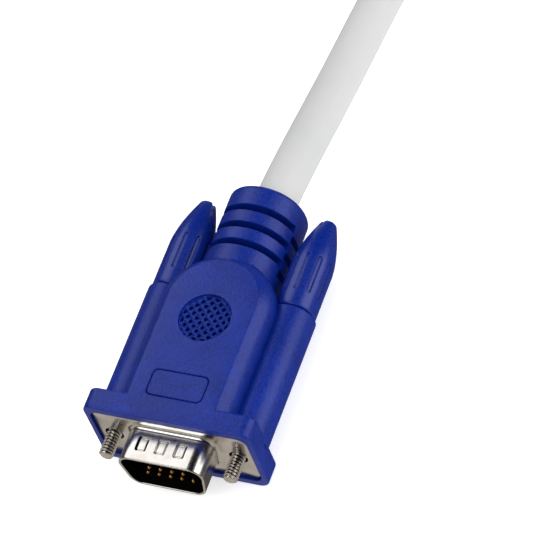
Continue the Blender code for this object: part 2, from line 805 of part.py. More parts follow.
def thinned(curve, spacing):
    """Points at about equal spacing along a curve, with both its ends."""
    lengths = [0.0]
    for first, second in zip(curve, curve[1:]):
        lengths.append(lengths[-1] + (second - first).length)
    count = max(2, round(lengths[-1] / spacing))
    points = []
    for index in range(count + 1):
        wanted = lengths[-1] * index / count
        nearest = min(range(len(curve)), key=lambda i: abs(lengths[i] - wanted))
        points.append(curve[nearest])
    return points


def cord_tube(name, points):
    """A round tube with filled caps along a poly spline."""
    curve = bpy.data.curves.new(name, "CURVE")
    curve.dimensions = "3D"
    curve.bevel_depth = CORD_RADIUS
    curve.bevel_resolution = 3
    curve.use_fill_caps = True
    spline = curve.splines.new("POLY")
    spline.points.add(len(points) - 1)
    for target, point in zip(spline.points, points):
        target.co = (*point, 1.0)
    curve.materials.append(CORD_PVC)
    made = bpy.data.objects.new(name, curve)
    bpy.context.scene.collection.objects.link(made)


def clear_of_coil(point):
    """Whether a cord end at this point stays off the ring's outer wall."""
    away = math.hypot(point.x - COIL_CENTRE.x, point.y - COIL_CENTRE.y)
    wall = COIL_OUTER * math.cos(math.pi / COIL_SEGMENTS)
    return away > wall + CORD_RADIUS + GAP / 2


free_curve = smooth_route([Vector(point) * MM for point in FREE_ROUTE])
free_curve = [point for point in free_curve if clear_of_coil(point)]
cord_tube("cord", thinned(free_curve, CORD_STEP))
lead_curve = smooth_route([COIL_CENTRE + Vector(point) * MM for point in LEAD_ROUTE])
cord_tube("cord_lead", thinned(lead_curve, CORD_STEP))


def coil_section():
    """The coil's section, (radius, height), with its corners taken off."""
    half = COIL_HALF_SECTION
    return [
        (COIL_MEAN_RADIUS + x, COIL_HEIGHT / 2 + z)
        for x, z in (
            (half, COIL_HEIGHT / 2 - COIL_EDGE),
            (half - COIL_EDGE, COIL_HEIGHT / 2),
            (COIL_EDGE - half, COIL_HEIGHT / 2),
            (-half, COIL_HEIGHT / 2 - COIL_EDGE),
            (-half, COIL_EDGE - COIL_HEIGHT / 2),
            (COIL_EDGE - half, -COIL_HEIGHT / 2),
            (half - COIL_EDGE, -COIL_HEIGHT / 2),
            (half, COIL_EDGE - COIL_HEIGHT / 2),
        )
    ]


def coil_ring():
    rings = []
    for step in range(COIL_SEGMENTS):
        angle = 2 * math.pi * step / COIL_SEGMENTS
        rings.append([(r * math.cos(angle), r * math.sin(angle), z) for r, z in coil_section()])
    return new_mesh(rings, closed=True)


def tie_frame(outer_offset, inner_offset, width):
    """A flat band round the coil's section, at the tie's place on the ring."""

    def outline(offset):
        flat = block_outline(2 * COIL_HALF_SECTION, COIL_HEIGHT, COIL_EDGE, offset)
        return [(COIL_MEAN_RADIUS + x, COIL_HEIGHT / 2 + z) for x, z in flat]

    outer = outline(outer_offset)
    inner = outline(inner_offset)
    half = width / 2
    frame = along_y([(-half, outer), (half, outer), (half, inner), (-half, inner)], closed=True)
    frame.transform(Matrix.Rotation(TIE_ANGLE, 4, "Z"))
    return frame


waist = tie_frame(2 * TIE_WALL, -TIE_WALL - GAP, TIE_WIDTH + 2 * GAP)
place("cord_coil", smooth(cut(coil_ring(), [waist])), CORD_PVC, None, COIL_CENTRE)
place("cord_tie", smooth(tie_frame(0.0, -TIE_WALL, TIE_WIDTH)), TIE_FABRIC, None, COIL_CENTRE)
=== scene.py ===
"""Looks of a VGA cable: two blue moulded plugs on one light grey cord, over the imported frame."""
import json
import math

import bpy
import numpy as np
from mathutils import Matrix, Vector

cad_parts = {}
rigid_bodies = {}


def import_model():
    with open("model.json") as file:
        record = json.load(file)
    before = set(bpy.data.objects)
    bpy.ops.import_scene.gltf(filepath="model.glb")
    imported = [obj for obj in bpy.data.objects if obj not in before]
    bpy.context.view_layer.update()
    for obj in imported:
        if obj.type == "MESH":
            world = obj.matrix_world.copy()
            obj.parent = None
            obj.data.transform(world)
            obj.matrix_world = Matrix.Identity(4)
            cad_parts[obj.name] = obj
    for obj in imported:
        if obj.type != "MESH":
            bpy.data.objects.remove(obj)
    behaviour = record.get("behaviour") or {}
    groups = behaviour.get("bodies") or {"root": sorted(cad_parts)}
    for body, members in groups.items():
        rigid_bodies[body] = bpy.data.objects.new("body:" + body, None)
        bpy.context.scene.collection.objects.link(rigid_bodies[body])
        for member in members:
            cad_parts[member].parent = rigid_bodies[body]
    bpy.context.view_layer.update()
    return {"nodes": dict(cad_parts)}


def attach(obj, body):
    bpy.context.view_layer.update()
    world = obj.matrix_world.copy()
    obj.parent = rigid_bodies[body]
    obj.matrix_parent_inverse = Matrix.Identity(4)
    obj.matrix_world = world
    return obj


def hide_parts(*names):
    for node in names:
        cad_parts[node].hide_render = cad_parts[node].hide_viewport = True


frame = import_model()
MM = 0.001

# Camera: a long lens looks down on the plug from its pins' end, a little from the right.
# Its place and tilt come from the plate, the screws 25 mm apart, the strain relief and the knobs'
# tips in the photograph, whose side is 533 pixels.
photo_side = 533.0
focal_pixels = 3486.0
eye = Matrix(
    (
        (0.9175, -0.1570, 0.3655, 0.24370),
        (0.3263, 0.8226, -0.4657, -0.28845),
        (-0.2275, 0.5466, 0.8059, 0.53859),
        (0.0, 0.0, 0.0, 1.0),
    )
)
lens = bpy.data.cameras.new("camera")
lens.sensor_width = 36.0
lens.lens = focal_pixels / photo_side * lens.sensor_width
lens.clip_start = 0.01
camera = bpy.data.objects.new("camera", lens)
camera.matrix_world = eye
bpy.context.scene.collection.objects.link(camera)
bpy.context.scene.camera = camera


# Cord: one round PVC-jacketed monitor cable, 8.4 mm across and 1.8 m from plug to plug.
# It leaves the near strain relief, lies on the table, and is wound into a coil of three layers
# of two turns, with the far plug on top. The jacket is extruded: smooth, with a satin skin.
cord_radius = 4.2 * MM
cord_floor = 4.22
coil_centre = Vector((-36.0, 146.5, 0.0)) * MM
coil_radius = 44.4
coil_levels = (cord_floor, 12.6, 20.98)
tie_degrees = 120.0


def flowing(points, steps):
    """Catmull-Rom curve: each stretch is a cubic whose end slopes join its neighbours' points."""
    points = np.asarray(points, float)
    points = np.vstack([2 * points[0] - points[1], points, 2 * points[-1] - points[-2]])
    a, b, c, d = (points[i : len(points) - 3 + i, None, :] for i in range(4))
    t = (np.arange(steps) / steps)[None, :, None]
    curve = 0.5 * (
        2 * b + (c - a) * t + (2 * a - 5 * b + 4 * c - d) * t**2 + (3 * b - a - 3 * c + d) * t**3
    )
    return np.vstack([curve.reshape(-1, 3), points[-2]])


def evenly(curve, spacing):
    """Points at equal steps of length along a close polyline."""
    lengths = np.concatenate([[0.0], np.cumsum(np.linalg.norm(np.diff(curve, axis=0), axis=1))])
    wanted = np.linspace(0.0, lengths[-1], max(2, round(lengths[-1] / spacing)) + 1)
    return np.stack([np.interp(wanted, lengths, curve[:, k]) for k in range(3)], axis=1)


def eased(curve, reach, rounds):
    """Running mean over a close polyline, which shares a sharp bend among its neighbours. The run
    is mirrored through both ends, so they stay where they are."""
    kernel = np.ones(2 * reach + 1) / (2 * reach + 1)
    for _ in range(rounds):
        before = 2 * curve[0] - curve[reach:0:-1]
        after = 2 * curve[-1] - curve[-2 : -reach - 2 : -1]
        longer = np.vstack([before, curve, after])
        curve = np.stack([np.convolve(longer[:, k], kernel, "valid") for k in range(3)], axis=1)
    return curve


free_route = [
    (0.0, 18.4, 9.2),
    (0.05, 30.0, 9.2),
    (0.7, 41.0, 8.6),
    (1.1, 52.0, 6.8),
    (1.5, 63.0, 5.0),
    (2.0, 73.0, cord_floor),
    (2.9, 86.0, cord_floor),
    (5.1, 101.5, cord_floor),
    (8.6, 117.5, cord_floor),
    (11.5, 132.0, cord_floor),
    (12.6, 146.5, cord_floor),
]
lead_route = [
    (-28.5, -34.0, 29.7),
    (-16.6, -41.2, 29.8),
    (-2.6, -44.3, 30.3),
    (8.8, -43.2, 31.1),
    (19.6, -38.2, 32.3),
    (28.3, -30.1, 33.5),
    (33.6, -19.8, 34.4),
    (35.5, -8.4, 34.7),
    (35.5, 3.2, 34.7),
]


def coil_turns():
    """Six turns: radius and height hold for most of a turn, then shift smoothly to the next place.
    They start 2.2% wide, which is what easing takes off their radius. At the tie each turn is
    drawn 1.1 mm towards the middle of the bundle."""
    inner, outer = 40.2, 48.6
    low, middle_level, high = coil_levels
    lead_height = 29.7
    places = [
        (outer, low),
        (inner, low),
        (inner, middle_level),
        (outer, middle_level),
        (outer, high),
        (inner, high),
        (coil_radius, lead_height),
    ]
    end, first_shift, shift_step, last_shift, shift_half = 2026.0, 315.0, 335.0, 1990.0, 32.0
    angle = np.arange(0.0, end, 6.0)
    radius = np.full(angle.shape, places[0][0])
    height = np.full(angle.shape, places[0][1])
    for i, (before, after) in enumerate(zip(places, places[1:])):
        middle = shift_step * i + first_shift if i < 5 else last_shift
        share = np.clip((angle - middle + shift_half) / (2 * shift_half), 0.0, 1.0)
        share = share * share * (3.0 - 2.0 * share)
        radius += share * (after[0] - before[0])
        height += share * (after[1] - before[1])
    squeeze, tie_reach = 1.1, 20.0
    near_tie = np.exp(-(((angle % 360.0) - tie_degrees) / tie_reach) ** 2)
    radius -= near_tie * squeeze * np.sign(radius - coil_radius)
    off_middle = height - middle_level
    height -= near_tie * squeeze * np.sign(off_middle) * (np.abs(off_middle) > 4.0)
    height = np.maximum(height, cord_floor)
    spare, ramp = 0.022, 40.0
    fade_in = np.clip(angle / ramp, 0.0, 1.0)
    fade_out = np.clip((end - angle) / ramp, 0.0, 1.0)
    radius *= 1.0 + spare * fade_in * fade_out
    turn = np.radians(angle)
    return np.stack([radius * np.cos(turn), radius * np.sin(turn), height], axis=1)


centre_mm = np.array(coil_centre) / MM
curve_steps, close_step, point_step = 40, 1.0, 6.0
whole = [flowing(free_route, curve_steps)[:-1], coil_turns() + centre_mm]
whole += [flowing(np.array(lead_route) + centre_mm, curve_steps)]
route = evenly(eased(evenly(np.vstack(whole), close_step), reach=10, rounds=3), point_step)
cord_line = bpy.data.curves.new("signal_cord", "CURVE")
cord_line.dimensions = "3D"
cord_line.bevel_depth = cord_radius
cord_line.bevel_resolution = 8
cord_line.use_fill_caps = True
cord_line.resolution_u = 3
spline = cord_line.splines.new("POLY")
spline.points.add(len(route) - 1)
spline.points.foreach_set("co", np.hstack([route * MM, np.ones((len(route), 1))]).ravel())
spline.use_smooth = True
signal_cord = bpy.data.objects.new("signal_cord", cord_line)
bpy.context.scene.collection.objects.link(signal_cord)


def linear(text):
    """An sRGB hex colour as linear RGBA: each channel c becomes ((c + 0.055) / 1.055) ^ 2.4."""
    channels = [int(text[i : i + 2], 16) / 255.0 for i in (1, 3, 5)]
    straight = [c / 12.92 if c <= 0.04045 else ((c + 0.055) / 1.055) ** 2.4 for c in channels]
    return (*straight, 1.0)


def add_node(tree, kind, settings=None, **links):
    """Add a node, set its properties and sockets, and link its inputs, named with _ for a space."""
    node = tree.nodes.new(kind)
    for key, value in (settings or {}).items():
        if isinstance(key, str) and hasattr(node, key):
            setattr(node, key, value)
        else:
            node.inputs[key].default_value = value
    for key, source in links.items():
        name = int(key[1:]) if key[1:].isdigit() else key.replace("_", " ")
        tree.links.new(node.inputs[name], source)
    return node


def new_material(name, colour, roughness, metallic=0.0):
    """A Principled material, with its tree and shader, ready for its own nodes."""
    made = bpy.data.materials.new(name)
    made.use_nodes = True
    shader = made.node_tree.nodes["Principled BSDF"]
    shader.inputs["Base Color"].default_value = linear(colour)
    shader.inputs["Roughness"].default_value = roughness
    shader.inputs["Metallic"].default_value = metallic
    return made, made.node_tree, shader


# Soft extruded PVC: slightly uneven satin skin with faint long drag marks and handling dust
soft_pvc, tree, shader = new_material("soft_pvc", "#C4C4C3", 0.42)
where = add_node(tree, "ShaderNodeTexCoord").outputs["Object"]
cloud = add_node(tree, "ShaderNodeTexNoise", {"Scale": 45.0, "Detail": 3.0}, Vector=where)
tint = add_node(tree, "ShaderNodeValToRGB", {}, Fac=cloud.outputs["Fac"])
tint.color_ramp.elements[0].position = 0.3
tint.color_ramp.elements[0].color = linear("#C5C6C6")
tint.color_ramp.elements[1].position = 0.7
tint.color_ramp.elements[1].color = linear("#CDCDCC")
tree.links.new(shader.inputs["Base Color"], tint.outputs["Color"])
skin = add_node(tree, "ShaderNodeTexNoise", {"Scale": 1600.0, "Detail": 2.0}, Vector=where)
rough = add_node(
    tree, "ShaderNodeMapRange", {"To Min": 0.46, "To Max": 0.6}, Value=skin.outputs["Fac"]
)
tree.links.new(shader.inputs["Roughness"], rough.outputs["Result"])
bump = add_node(
    tree, "ShaderNodeBump", {"Strength": 0.12, "Distance": 0.00005}, Height=skin.outputs["Fac"]
)
tree.links.new(shader.inputs["Normal"], bump.outputs["Normal"])
shader.inputs["IOR"].default_value = 1.42
cord_line.materials.append(soft_pvc)
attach(signal_cord, "cable")
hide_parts("cord", "cord_coil", "cord_lead")


# Hood: one PVC moulding over the shells, with a flange, an arched body, two screw tubes and a
# slotted strain relief. The tool was spark-eroded, so panel and flange have a fine matte grain.
# The panel has a bare label field inside a thin groove, and a round perforated grille.
axis_height = 9.2
near_place = np.array((0.0, -23.05, axis_height))
far_place = np.array((-0.5, 191.1, 34.7))
screw_reach = 12.5
flange_width, flange_height = 33.6, 18.4
panel_top, panel_half_width, arch_middle = 9.2, 8.9, 26.3
tube_radius, tube_start, tube_end = 4.55, 3.0, 30.9
relief_half_width, relief_half_height, relief_tip = 7.8, 8.5, 53.0
slot_first, slot_pitch, side_slot_half = 40.0, 3.9, 2.6
label_shift = np.array((0.0, 7.3))
grille_middle, grille_step = 22.3, 0.9


def rounded_box(width, height, radius, steps=8):
    """Rectangle with quarter-circle corners, as (x, z) points counted from the right top corner."""
    corner = np.linspace(0.0, math.pi / 2, steps + 1)
    arcs = []
    for quarter, (sx, sz) in enumerate(((1, 1), (-1, 1), (-1, -1), (1, -1))):
        turn = corner + quarter * math.pi / 2
        arcs.append(
            np.stack(
                [
                    sx * (width / 2 - radius) + radius * np.cos(turn),
                    sz * (height / 2 - radius) + radius * np.sin(turn),
                ],
                axis=1,
            )
        )
    return np.vstack(arcs)


def ring_mesh(name, rings, closed=False):
    """Surface through equal rings of points, (ring, point, xyz), ends filled or joined to each other.
    Faces point outwards: the order is turned round where the signed volume is negative."""
    rings = np.asarray(rings, float)
    count, around = rings.shape[:2]
    row = np.arange(count if closed else count - 1)[:, None]
    column = np.arange(around)[None, :]
    after = (row + 1) % count
    beside = (column + 1) % around
    quads = np.stack(
        [
            row * around + column,
            row * around + beside,
            after * around + beside,
            after * around + column,
        ],
        axis=-1,
    ).reshape(-1, 4)
    points = rings.reshape(-1, 3)
    a, b, c, d = (points[quads[:, k]] for k in range(4))
    volume = (a * (np.cross(b, c) + np.cross(c, d))).sum()
    faces = quads.tolist()
    if not closed:
        faces.append(list(range(around))[::-1])
        faces.append(list(range((count - 1) * around, count * around)))
        for ring, sign in ((rings[0], -1), (rings[-1], 1)):
            volume += sign * (ring.mean(0) * np.cross(ring, np.roll(ring, -1, 0))).sum()
    if volume < 0:
        faces = [face[::-1] for face in faces]
    mesh = bpy.data.meshes.new(name)
    mesh.from_pydata((points * MM).tolist(), [], faces)
    return mesh


def stacked_y(stations):
    """Rings from (y, outline) pairs whose outlines hold (x, z) points."""
    return np.array([np.insert(np.asarray(o, float), 1, y, axis=1) for y, o in stations])


def stacked_z(stations):
    """Rings from (z, outline) pairs whose outlines hold (x, y) points."""
    return np.array([np.insert(np.asarray(o, float), 2, z, axis=1) for z, o in stations])


def circle(radius, sides, x=0.0, z=0.0):
    """Points of a circle about a place across the axis."""
    turn = np.arange(sides) * 2 * math.pi / sides
    return np.stack([x + radius * np.cos(turn), z + radius * np.sin(turn)], axis=1)


def turned(name, profile, sides, x=0.0):
    """Profile of (y, radius) turned about an axis along Y."""
    return ring_mesh(name, stacked_y([(y, circle(r, sides, x)) for y, r in profile]))


def quarter_round(start, end, radius, steps=5):
    """Stations (distance along, inset) of a convex quarter round at both ends of a run."""
    turn = np.linspace(0.0, math.pi / 2, steps + 1)
    near = [(start + radius * (1 - math.sin(t)), radius * (1 - math.cos(t))) for t in turn[::-1]]
    far = [(end - radius * (1 - math.sin(t)), radius * (1 - math.cos(t))) for t in turn]
    return near + far


def arch(half_width, steps=48):
    """Panel outline seen from above, (x, y): straight sides from the flange and a half circle."""
    turn = np.linspace(0.0, math.pi, steps + 1)
    across = half_width * np.cos(turn)
    round_end = np.stack([across, arch_middle + half_width * np.sin(turn)], axis=1)
    side = np.linspace(3.0, arch_middle, 13)[:-1]
    right = np.stack([np.full(12, half_width), side], axis=1)
    left = np.stack([np.full(12, -half_width), side[::-1]], axis=1)
    return np.vstack([right, round_end, left])


def oval(half_width, half_height, sides=128, squareness=2.1):
    """Superellipse |x/a|^n + |z/b|^n = 1, the strain relief's section."""
    turn = np.arange(sides) * 2 * math.pi / sides
    c, s = np.cos(turn), np.sin(turn)
    x = half_width * np.sign(c) * np.abs(c) ** (2 / squareness)
    z = half_height * np.sign(s) * np.abs(s) ** (2 / squareness)
    return np.stack([x, z], axis=1)


def block(low, high):
    """Plain cutter block between two corners."""
    outline = [(low[0], low[2]), (high[0], low[2]), (high[0], high[2]), (low[0], high[2])]
    return ring_mesh("block", stacked_y([(low[1], outline), (high[1], outline)]))


def carved(base, tools, operation="DIFFERENCE"):
    """Exact Boolean of a mesh with each tool mesh in turn."""
    holder = bpy.data.objects.new("holder", base)
    bpy.context.scene.collection.objects.link(holder)
    helpers = []
    for tool in tools:
        helper = bpy.data.objects.new("helper", tool)
        bpy.context.scene.collection.objects.link(helper)
        helpers.append(helper)
        change = holder.modifiers.new("change", "BOOLEAN")
        change.operation = operation
        change.solver = "EXACT"
        change.object = helper
    bpy.context.view_layer.update()
    result = bpy.data.meshes.new_from_object(
        holder.evaluated_get(bpy.context.evaluated_depsgraph_get())
    )
    for used in [holder, *helpers]:
        bpy.data.objects.remove(used, do_unlink=True)
    return result


flange = ring_mesh(
    "flange",
    stacked_y(
        [
            (y, rounded_box(flange_width - 2 * inset, flange_height - 2 * inset, 2.2 - inset * 0.9))
            for y, inset in quarter_round(-0.4, 4.05, 0.42)
        ]
    ),
)
wall = [(9.2, -0.24), (9.185, -0.13), (9.12, -0.02), (8.7, 0.46), (8.3, 0.9), (7.9, 1.29)]
wall += [(7.5, 1.62), (7.1, 1.87), (6.6, 2.06), (6.0, 2.19), (5.2, 2.28), (4.2, 2.33), (0.0, 2.35)]
levels = wall + [(-z, wider) for z, wider in wall[-2::-1]]
body = ring_mesh("body", stacked_z([(z, arch(panel_half_width + wider)) for z, wider in levels]))
tube_profile = [(tube_start, tube_radius)]
tube_rims = quarter_round(tube_start, tube_end, 0.4)[6:]
tube_profile += [(y, tube_radius - inset) for y, inset in tube_rims]
tubes = [turned("tube", tube_profile, 96, x) for x in (-screw_reach, screw_reach)]
relief_start = 28.0
relief_rings = [(relief_start, oval(relief_half_width, relief_half_height))]
for y, inset in quarter_round(relief_start, relief_tip, 1.0, 8):
    if y > slot_first:
        relief_rings.append((y, oval(relief_half_width - inset, relief_half_height - inset)))
relief = ring_mesh("relief", stacked_y(relief_rings))


def slot_arc(y, start, end, depth=3.1, half=0.66):
    """Slot cutter that follows the section from one angle to another, its mouth edges rounded off:
    each ring is the slot's own section, (y, share of the way in), set at one place of the oval."""
    turn = np.radians(np.linspace(start, end, 49))
    skin = oval(relief_half_width, relief_half_height, 360)
    angle = np.unwrap(np.arctan2(skin[:, 1], skin[:, 0]))
    spread = np.interp(turn % (2 * math.pi), angle, np.hypot(skin[:, 0], skin[:, 1]))
    mouth = [(0.34, 1.0), (0.24, 0.12), (0.1, 0.0), (0.0, -0.16), (0.0, -depth)]
    section = [(half + wide, out) for wide, out in mouth]
    section += [(-half - wide, out) for wide, out in mouth[::-1]]
    along = np.array([a for a, _ in section])
    out = np.array([o for _, o in section])
    reach = spread[:, None] + out[None, :]
    rings = np.stack(
        [
            reach * np.cos(turn)[:, None],
            np.broadcast_to(y + along, reach.shape),
            reach * np.sin(turn)[:, None],
        ],
        axis=2,
    )
    return ring_mesh("slot", rings)


# Long slots go round the upper and the lower half, short ones lie half a pitch before them
slots = []
for index in range(3):
    y = slot_first + slot_pitch * index
    slots += [slot_arc(y, 19.0, 161.0), slot_arc(y, 199.0, 341.0)]
    for x_low, x_high in ((-9.0, -6.3), (6.3, 9.0)):
        slots.append(block((x_low, y - 2.65, -side_slot_half), (x_high, y - 1.25, side_slot_half)))
cord_bore = turned("cord_bore", [(40.9, 4.36), (55.0, 4.36)], 64)
relief = carved(relief, [cord_bore, *slots])

# The label field's groove is a V, 0.32 mm deep, whose edges part towards the panel's surface
field = rounded_box(11.1, 5.5, 1.1) + label_shift
field_out = rounded_box(11.5, 5.9, 1.3) + label_shift
field_in = rounded_box(10.7, 5.1, 0.9) + label_shift
groove_rings = [(8.88, field), (panel_top, field_out), (9.6, field_out)]
groove_rings += [(9.6, field_in), (panel_top, field_in)]
groove = ring_mesh("groove", stacked_z(groove_rings), closed=True)


def grille_cutter():
    """Round recess whose floor is a product of two cosines: deep pits on a staggered grid of
    0.9 mm steps, and low knuckles between them. The pits fade out at the rim."""
    reach = np.concatenate([np.linspace(0.02, 4.95, 62), [5.1, 5.12]])
    turn = np.arange(192) * 2 * math.pi / 192
    x = reach[:, None] * np.cos(turn)
    y = reach[:, None] * np.sin(turn)
    wave = np.cos(math.pi * x / grille_step) * np.cos(math.pi * y / grille_step)
    pit = np.clip((wave - 0.3) / 0.22, 0.0, 1.0)
    pit = pit * pit * (3 - 2 * pit) * (reach[:, None] < 4.72)
    floor = panel_top - 0.62 - 2.4 * pit + 0.48 * np.clip(-wave, 0.0, 1.0)
    floor[-2:] = [[8.8], [panel_top]]
    rings = np.stack([x, y + grille_middle, floor], axis=2)
    lid = rings[-1:].copy()
    lid[..., 2] = 9.8
    return ring_mesh("grille", np.vstack([rings, lid]))


gate = turned("gate", [(34.6, 0.36), (35.3, 0.36), (35.5, 0.22)], 20)
gate.transform(Matrix.Translation((0.0, 0.0, 8.82 * MM)))
pocket = ring_mesh(
    "pocket", stacked_y([(y, rounded_box(31.4, 14.9, 1.9)) for y in (-1.4, 2.9)])
)
cavity = ring_mesh(
    "cavity",
    stacked_y(
        [
            (2.6, rounded_box(19.2, 12.0, 2.3)),
            (21.8, rounded_box(19.2, 12.0, 2.3)),
            (25.8, rounded_box(9.6, 9.6, 2.3)),
        ]
    ),
)
bores = [
    turned(
        "bore",
        [(2.6, 1.72), (25.4, 1.72), (25.4, 3.0), (30.8, 3.0), (30.9, 4.45), (53.3, 4.45)],
        64,
        x,
    )
    for x in (-screw_reach, screw_reach)
]
moulding = carved(body, [flange, *tubes, relief, gate], "UNION")
moulding = carved(moulding, [groove, grille_cutter(), pocket, cavity, *bores])
moulding.shade_smooth()
moulding.set_sharp_from_angle(angle=math.radians(32.0))


def set_in_place(name, mesh, place, turned_round):
    """Copy a mesh from the plug's own frame to its place in the world, the far plug half turned."""
    mesh = mesh.copy()
    mesh.name = name
    if turned_round:
        mesh.transform(Matrix.Rotation(math.pi, 4, "Z"))
    mesh.transform(Matrix.Translation(Vector(place) * MM))
    made = bpy.data.objects.new(name, mesh)
    bpy.context.scene.collection.objects.link(made)
    return made


plugs = (("", near_place, False), ("_far", far_place, True))

# Flexible PVC from a spark-eroded tool: deep blue, tiny colour drift, and a matt grain that is
# drawn at about 0.4 mm, coarser than the tool's, so that it shows
grained_pvc, tree, shader = new_material("grained_pvc", "#03217A", 0.34)
where = add_node(tree, "ShaderNodeTexCoord").outputs["Object"]
grain = add_node(tree, "ShaderNodeTexNoise", {"Scale": 2700.0, "Detail": 3.0}, Vector=where)
drift = add_node(tree, "ShaderNodeTexNoise", {"Scale": 120.0, "Detail": 2.0}, Vector=where)
mixed = add_node(
    tree,
    "ShaderNodeMath",
    {"operation": "MULTIPLY_ADD", 1: 0.35},
    _0=drift.outputs["Fac"],
    _2=grain.outputs["Fac"],
)
tint = add_node(tree, "ShaderNodeValToRGB", {}, Fac=mixed.outputs["Value"])
tint.color_ramp.elements[0].position = 0.5
tint.color_ramp.elements[0].color = linear("#021B6C")
tint.color_ramp.elements[1].position = 0.85
tint.color_ramp.elements[1].color = linear("#042B94")
tree.links.new(shader.inputs["Base Color"], tint.outputs["Color"])
rough = add_node(
    tree, "ShaderNodeMapRange", {"To Min": 0.28, "To Max": 0.42}, Value=grain.outputs["Fac"]
)
tree.links.new(shader.inputs["Roughness"], rough.outputs["Result"])
bump = add_node(
    tree, "ShaderNodeBump", {"Strength": 0.9, "Distance": 0.00008}, Height=grain.outputs["Fac"]
)
tree.links.new(shader.inputs["Normal"], bump.outputs["Normal"])
shader.inputs["IOR"].default_value = 1.46
moulding.materials.clear()
moulding.materials.append(grained_pvc)
for suffix, place, turned_round in plugs:
    hood = set_in_place("moulded_hood" + suffix, moulding, place, turned_round)
    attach(hood, "cable")
    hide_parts("hood" + suffix)


# Thumbscrew knobs: blue PVC moulded over the screws, straight at the shoulder, then tapering like
# a bullet to a tip with a driver slot. Ten narrow flutes give the fingers a grip.
def knob_mesh():
    """Radius along the knob: straight, then R - (R - r) s^1.65, less ten flutes whose outline is
    two half circles joined by straight sides, with a flat floor."""
    sides, flutes, shoulder = 300, 10, 31.2
    flute_start, flute_end, flute_half, flute_depth = 3.95, 11.1, 0.5, 0.4
    turn = np.arange(sides) * 2 * math.pi / sides
    along = np.concatenate(
        [np.linspace(0.3, 2.9, 6), np.linspace(3.05, 12.0, 64), np.linspace(12.4, 20.4, 24)]
    )
    share = np.clip((along - 10.0) / 10.9, 0.0, 1.0)
    radius = 4.15 - 2.75 * share**1.65
    phase = (turn * flutes / (2 * math.pi)) % 1.0 - 0.5
    across = np.abs(phase)[None, :] * 2 * math.pi * radius[:, None] / flutes
    past = np.maximum(np.maximum(flute_start - along, along - flute_end), 0.0)
    valley = np.clip((flute_half - np.hypot(across, past[:, None])) / 0.2, 0.0, 1.0)
    depth = flute_depth * valley * valley * (3 - 2 * valley)
    outside = radius[:, None] - depth
    y = np.repeat(along[:, None], sides, axis=1)
    wall = np.stack([outside * np.cos(turn), shoulder + y, outside * np.sin(turn)], axis=2)
    start = [(25.7, 2.7), (shoulder, 2.7), (shoulder, 3.8), (31.23, 3.97), (31.32, 4.09)]
    tip = [(51.76, 1.47), (51.9, 1.33), (52.01, 1.1), (52.07, 0.8), (52.1, 0.4), (52.1, 0.05)]
    root = stacked_y([(y, circle(r, sides)) for y, r in start])
    crown = stacked_y([(y, circle(r, sides)) for y, r in tip])
    solid = ring_mesh("knob", np.vstack([root, wall, crown]))
    rod_hole = turned("rod_hole", [(24.0, 1.5), (44.0, 1.5)], 32)
    driver_slot = block((-0.6, 50.3, -5.0), (0.6, 54.0, 5.0))
    return carved(solid, [rod_hole, driver_slot])


knob = knob_mesh()
knob.shade_smooth()
knob.set_sharp_from_angle(angle=math.radians(40.0))

# The knob's PVC came from a smoother tool: same blue, a little darker and more satin
satin_pvc, tree, shader = new_material("satin_pvc", "#051E70", 0.34)
where = add_node(tree, "ShaderNodeTexCoord").outputs["Object"]
grain = add_node(tree, "ShaderNodeTexNoise", {"Scale": 2400.0, "Detail": 2.0}, Vector=where)
tint = add_node(tree, "ShaderNodeValToRGB", {}, Fac=grain.outputs["Fac"])
tint.color_ramp.elements[0].position = 0.3
tint.color_ramp.elements[0].color = linear("#031E74")
tint.color_ramp.elements[1].position = 0.7
tint.color_ramp.elements[1].color = linear("#052889")
tree.links.new(shader.inputs["Base Color"], tint.outputs["Color"])
rough = add_node(
    tree, "ShaderNodeMapRange", {"To Min": 0.24, "To Max": 0.34}, Value=grain.outputs["Fac"]
)
tree.links.new(shader.inputs["Roughness"], rough.outputs["Result"])
bump = add_node(
    tree, "ShaderNodeBump", {"Strength": 0.25, "Distance": 0.00004}, Height=grain.outputs["Fac"]
)
tree.links.new(shader.inputs["Normal"], bump.outputs["Normal"])
shader.inputs["IOR"].default_value = 1.53
knob.materials.clear()
knob.materials.append(satin_pvc)
sides = (("left", -screw_reach, 72.0), ("right", screw_reach, -36.0))


def on_screw_axis(mesh, x, degrees):
    """Turn a copy about the screw's own Y axis and shift it to the screw's place in the plug."""
    mesh = mesh.copy()
    mesh.transform(Matrix.Rotation(math.radians(degrees), 4, "Y"))
    mesh.transform(Matrix.Translation((x * MM, 0.0, 0.0)))
    return mesh


for suffix, place, turned_round in plugs:
    for side, x, degrees in sides:
        piece = set_in_place(
            f"thumb_knob_{side}{suffix}", on_screw_axis(knob, x, degrees), place, turned_round
        )
        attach(piece, f"thumbscrew_{side}{suffix}")
        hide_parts(f"knob_{side}{suffix}")


